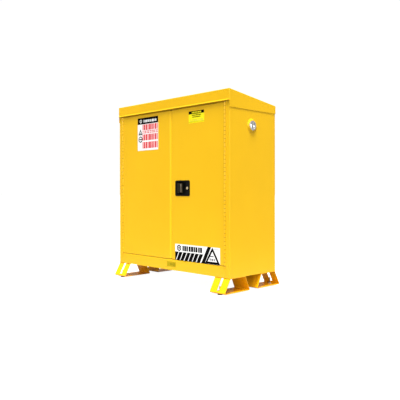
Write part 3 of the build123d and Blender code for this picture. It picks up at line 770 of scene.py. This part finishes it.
def latch_cover():
    """Pressed cover over the latch on the inside of the right door, with a screw in each corner."""
    cup_low, cup_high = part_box("latch_cup")
    centre = (cup_low + cup_high) / 2
    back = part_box("door_right_inner")[1].y
    width, height = 118 * MM, 92 * MM
    rings = []
    for inset, lift in ((0, 0), (0, 1.0), (9, 1.0), (12, 4.5), (14, 5.0)):
        rings.append([(x, back + lift * MM, z) for x, z in
                      rounded_rectangle(centre, width - 2 * inset * MM, height - 2 * inset * MM, 8 * MM)])
    bm = bmesh.new()
    skin(bm, rings)
    new_piece("latch_cover", bm, "right_door", "inner_paint")
    screw_x, screw_z = width / 2 - 5 * MM, height / 2 - 5 * MM
    bm = bmesh.new()
    for sx in (-1, 1):
        for sz in (-1, 1):
            place = (centre.x + sx * screw_x, back + 1.0 * MM, centre.z + sz * screw_z)
            cross_head(bm, axis_frame(place, (0, 1, 0)), 3.4 * MM, 1.8 * MM)
    new_piece("latch_cover_screws", bm, "right_door", "zinc")


def pull_details():
    """Finger edge on the pull in a lighter plastic, which is a painted highlight, and the sleeves that carry
    its pin above and below it.
    """
    low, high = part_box("paddle")
    bm = bmesh.new()
    edge = Vector((high.x - 3.2 * MM, 0.0, (low.z + high.z) / 2))
    skin(bm, [[(x, low.y + out * MM, z) for x, z in
               rounded_rectangle(edge, (5.6 - inset) * MM, high.z - low.z - (6 + inset) * MM, 1.4 * MM)]
              for out, inset in ((2.0, 0.0), (-0.2, 0.0), (-0.6, 1.0))])
    # the lighter finish on the pull's finger edge is a painted highlight
    new_piece("pull_edge", bm, "pull", "olive_plastic", "painted_edge_highlight")
    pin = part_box("paddle_pin")
    middle = (pin[0] + pin[1]) / 2
    bm = bmesh.new()
    for start, end in ((low.z - 0.5 * MM, pin[0].z + 2 * MM), (high.z + 0.5 * MM, pin[1].z - 2 * MM)):
        reach = (end - start) / 4
        turned(bm, [(3.1 * MM, 0), (3.5 * MM, reach), (3.5 * MM, 3 * reach), (4.4 * MM, 4 * reach)],
               Matrix.Translation((middle.x, middle.y, start)), 24)
    new_piece("pull_sleeves", bm, "right_door", "black_plastic")


def lock_ring():
    """Moulded ring round the lock on the face plate."""
    low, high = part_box("lock_cylinder")
    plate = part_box("latch_cup")[0].y
    centre = ((low.x + high.x) / 2, plate, (low.z + high.z) / 2)
    radius = (high.x - low.x) / 2
    profile = [(radius + 0.4 * MM, 0.0), (radius + 2.6 * MM, 0.0), (radius + 2.4 * MM, 0.9 * MM),
               (radius + 1.4 * MM, 1.5 * MM), (radius + 0.4 * MM, 1.2 * MM)]
    bm = bmesh.new()
    washer_ring(bm, profile, axis_frame(centre, (0, -1, 0)))
    new_piece("lock_ring", bm, "right_door", "black_plastic")


# ---- vents and earthing -------------------------------------------------------------------
def vent_welds():
    """Fillet weld between each vent collar and the side panel."""
    for name, side in (("right", 1), ("left", -1)):
        low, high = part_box(f"vent_collar_{name}")
        centre = (low + high) / 2
        radius = (high.z - low.z) / 2
        count = 180
        x = side * (SIDE_X + 0.4 * MM)
        path = [(x, centre.y + y, centre.z + z) for y, z, _ in circle(radius, 0.0, count)]
        radii = [1.5 * MM * (1 + 0.16 * math.sin(1.9 * index)) for index in range(count + 1)]
        bm = bmesh.new()
        tube(bm, path + path[:1], radii, 6)
        new_piece(f"vent_weld_{name}", bm, "cabinet", "body_paint")


def flame_screen(name, side):
    """Woven wire disc in a rolled rim, across the inner end of a vent tube."""
    node = f"flame_screen_{name}"
    low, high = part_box(node)
    centre = (low + high) / 2
    radius = (high.z - low.z) / 2
    pitch, wire = 3.4 * MM, 0.42 * MM
    bm = bmesh.new()
    lines = int((radius - wire) / pitch)
    for across in (False, True):
        for line in range(-lines, lines + 1):
            reach = math.sqrt(radius ** 2 - (line * pitch) ** 2) - wire
            steps = int(2 * reach / pitch * 4)
            path = []
            for step in range(steps + 1):
                run = -reach + 2 * reach * step / steps
                wave = wire * math.cos(math.pi * (run / pitch + line)) * (1 if across else -1)
                y, z = (run, line * pitch) if across else (line * pitch, run)
                path.append((centre.x + wave, centre.y + y, centre.z + z))
            tube(bm, path, wire, 5)
    rim = [(radius - 2 * MM, -0.7 * MM), (radius, -0.7 * MM), (radius, 0.7 * MM), (radius - 2 * MM, 0.7 * MM)]
    washer_ring(bm, rim, axis_frame(centre, (side, 0, 0)))
    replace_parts(new_piece(f"flame_weave_{name}", bm, "cabinet", "steel"), node)


def earth_terminal():
    """Earthing stud with a flat washer and a chamfered nut."""
    low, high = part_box("earth_stud")
    centre = (low + high) / 2
    place = axis_frame((high.x, centre.y, centre.z), (-1, 0, 0))
    bm = bmesh.new()
    turned(bm, [(9 * MM, 0), (9 * MM, 1.2 * MM), (8.7 * MM, 1.5 * MM)], place)
    hexagon(bm, place @ Matrix.Translation((0, 0, 1.5 * MM)), 13 * MM, 6.5 * MM)
    threaded(bm, place, 4 * MM, 1.25 * MM, high.x - low.x)
    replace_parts(new_piece("earth_terminal", bm, "cabinet", "brass"), "earth_stud")


# ---- feet ---------------------------------------------------------------------------------
CORNERS = (("front_right", "fr"), ("front_left", "fl"), ("rear_right", "rr"), ("rear_left", "rl"))
SOLE = 1.6 * MM


def levellers():
    """Threaded levelling studs with a turned pad on a rubber sole."""
    for corner, short in CORNERS:
        low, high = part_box(f"leveller_{corner}")
        middle = ((low.x + high.x) / 2, (low.y + high.y) / 2, low.z)
        radius = (high.x - low.x) / 2
        place = Matrix.Translation(middle)
        bm = bmesh.new()
        turned(bm, [(radius - 0.8 * MM, SOLE), (radius, SOLE + 0.6 * MM), (radius, 3.6 * MM),
                    (radius - 2.5 * MM, 5.4 * MM), (7.5 * MM, 6.2 * MM), (6.4 * MM, 7.4 * MM)], place, 40)
        threaded(bm, place @ Matrix.Translation((0, 0, 6 * MM)), 4.7 * MM, 1.5 * MM, high.z - low.z - 6 * MM)
        # the studs' brown coat is a painted reflection of the surrounding yellow, in shade
        stud = new_piece(f"leveller_{corner}_stud", bm, f"leveller_{short}", "zinc", "stud_reflection_brown")
        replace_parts(stud, f"leveller_{corner}")
        bm = bmesh.new()
        edge = radius - 0.6 * MM
        turned(bm, [(radius - 2 * MM, 0), (edge, 0.4 * MM), (edge, SOLE)], place, 40)
        new_piece(f"leveller_{corner}_sole", bm, f"leveller_{short}", "zinc", "rubber")


BOLT_SPACING = 92 * MM
BOLT_HEAD = 5 * MM


def foot_fasteners():
    """Hexagon bolts up through the feet, with washers under their heads and nuts inside the pan."""
    low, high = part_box("foot_bolts")
    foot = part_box("foot_front_right")
    x = (foot[0].x + foot[1].x) / 2
    outer_y = high.y - 8 * MM
    bm = bmesh.new()
    for sx in (-1, 1):
        for sy in (-1, 1):
            for y in (outer_y, outer_y - BOLT_SPACING):
                place = Matrix.Translation((sx * x, sy * y, low.z))
                hexagon(bm, place, 16 * MM, BOLT_HEAD)
                turned(bm, [(10.5 * MM, BOLT_HEAD), (11 * MM, 5.2 * MM), (11 * MM, 6 * MM)], place, 36)
                shank = place @ Matrix.Translation((0, 0, BOLT_HEAD))
                threaded(bm, shank, 5 * MM, 1.5 * MM, high.z - low.z - BOLT_HEAD)
                hexagon(bm, Matrix.Translation((sx * x, sy * y, BODY_LOW + 1.2 * MM)), 16 * MM, 8 * MM)
    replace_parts(new_piece("foot_fasteners", bm, "cabinet", "zinc"), "foot_bolts")


# ---- camera, light, floor -----------------------------------------------------------------
SENSOR = 36.0  # mm
LENS = 48.276  # mm
CAMERA_PLACE = Vector((2.6836, -2.6144, 0.6261))
CAMERA_YAW = math.radians(44.97)
CAMERA_ROLL = math.radians(-0.09)
SHIFT_Y = -0.02275  # lowers the frame on a level camera, as a share of its width


def add_camera():
    data = bpy.data.cameras.new("camera")
    data.sensor_width = SENSOR
    data.lens = LENS
    data.shift_y = SHIFT_Y
    camera = bpy.data.objects.new("camera", data)
    bpy.context.scene.collection.objects.link(camera)
    forward = Vector((-math.sin(CAMERA_YAW), math.cos(CAMERA_YAW), 0.0))
    turn = forward.to_track_quat("-Z", "Y").to_matrix() @ Matrix.Rotation(CAMERA_ROLL, 3, "Z")
    camera.matrix_world = Matrix.Translation(CAMERA_PLACE) @ turn.to_4x4()
    bpy.context.scene.camera = camera


def add_sun(name, azimuth, elevation, width, strength):
    """A distant light, with its angles in degrees. azimuth runs from the doors' side to the right side."""
    data = bpy.data.lights.new(name, "SUN")
    data.angle = math.radians(width)
    data.energy = strength
    light = bpy.data.objects.new(name, data)
    bpy.context.scene.collection.objects.link(light)
    turn, lift = math.radians(azimuth), math.radians(elevation)
    towards = Vector((math.sin(turn) * math.cos(lift), -math.cos(turn) * math.cos(lift), math.sin(lift)))
    light.rotation_euler = towards.to_track_quat("Z", "Y").to_euler()
    return light


WORLD_SEEN = 1.02  # strength for the camera
WORLD_LIGHT = 0.3  # strength for everything else
TOP_LIGHT = 11.6
KEY_LIGHT = 2.5
FILL_LIGHT = 1.95
RIM_LIGHT = 3.6


def add_lights():
    """White backdrop that lights the cabinet little, steep top light, soft key, low fill and a rim.

    The three upper lights throw no highlights, so that the roof keeps its colour from behind.
    """
    world = bpy.data.worlds.new("studio")
    world.use_nodes = True
    nodes, links = world.node_tree.nodes, world.node_tree.links
    background = nodes["Background"]
    background.inputs["Color"].default_value = (1.0, 1.0, 1.0, 1.0)
    path = nodes.new("ShaderNodeLightPath")
    level = nodes.new("ShaderNodeMapRange")
    level.inputs["To Min"].default_value = WORLD_LIGHT
    level.inputs["To Max"].default_value = WORLD_SEEN
    links.new(path.outputs["Is Camera Ray"], level.inputs["Value"])
    links.new(level.outputs["Result"], background.inputs["Strength"])
    bpy.context.scene.world = world
    add_sun("top", azimuth=45.0, elevation=77.0, width=20.0, strength=TOP_LIGHT).visible_glossy = False
    add_sun("key", azimuth=45.0, elevation=48.0, width=40.0, strength=KEY_LIGHT).visible_glossy = False
    add_sun("fill", azimuth=45.0, elevation=10.0, width=40.0, strength=FILL_LIGHT)
    add_sun("rim", azimuth=225.0, elevation=50.0, width=60.0, strength=RIM_LIGHT).visible_glossy = False


FLOOR_GLOW = 0.97  # for the camera only
FLOOR_SEEN = (0.20, 0.23)
FLOOR_THROWN = (0.26, 0.07)  # under the cabinet and far from it
FLOOR_FADE = (0.5, 1.6)  # metres from the middle


def add_floor():
    """A plain pale floor, faintly mottled, which shows brighter than the light it throws."""
    s = Shader("floor")
    cloud = s.noise(1.7, 5.0, 0.6)
    seen = s.ramp(cloud, [(0.3, grey(FLOOR_SEEN[0])), (0.7, grey(FLOOR_SEEN[1]))])
    away = s.nodes.new("ShaderNodeVectorMath")
    away.operation = "LENGTH"
    s.links.new(s.place, away.inputs[0])
    distance = s.span(away.outputs["Value"], 0.0, 1.0, *FLOOR_FADE)
    thrown = s.ramp(distance, [(0.0, grey(FLOOR_THROWN[0])), (1.0, grey(FLOOR_THROWN[1]))])
    path = s.nodes.new("ShaderNodeLightPath")
    s.colour(s.mix(path.outputs["Is Camera Ray"], thrown, seen))
    s.links.new(s.span(path.outputs["Is Camera Ray"], 0.0, FLOOR_GLOW), s.bsdf.inputs["Emission Strength"])
    s.set(Emission_Color=(1.0, 1.0, 1.0, 1.0))
    s.rough(s.span(cloud, 0.8, 0.95))
    bm = bmesh.new()
    bmesh.ops.create_grid(bm, x_segments=1, y_segments=1, size=60.0)
    mesh = finish_mesh(bm, "floor")
    mesh.materials.append(s.set(Specular_IOR_Level=0.1).material)
    floor = bpy.data.objects.new("floor", mesh)
    bpy.context.scene.collection.objects.link(floor)


def plain_view():
    """Plain tone curve, so that the paint keeps its hue in full light."""
    bpy.context.scene.view_settings.view_transform = "Standard"
    bpy.context.scene.view_settings.look = "None"


# ---- everything ---------------------------------------------------------------------------
materials = make_materials()
paint_cad_nodes(materials)
left_door_label()
upper_right_label()
lower_right_label()
sill_plate()
fascia_hem()
roof_screw_heads()
back_spot_welds()
tray_welds()
shelf_beads()
shelf_pegs()
hinge_rivets()
hinge_shade_rings()
door_back_welds()
latch_cover()
pull_details()
lock_ring()
vent_welds()
flame_screen("right", 1)
flame_screen("left", -1)
earth_terminal()
levellers()
foot_fasteners()
add_camera()
add_lights()
add_floor()
plain_view()

bpy.context.view_layer.update()
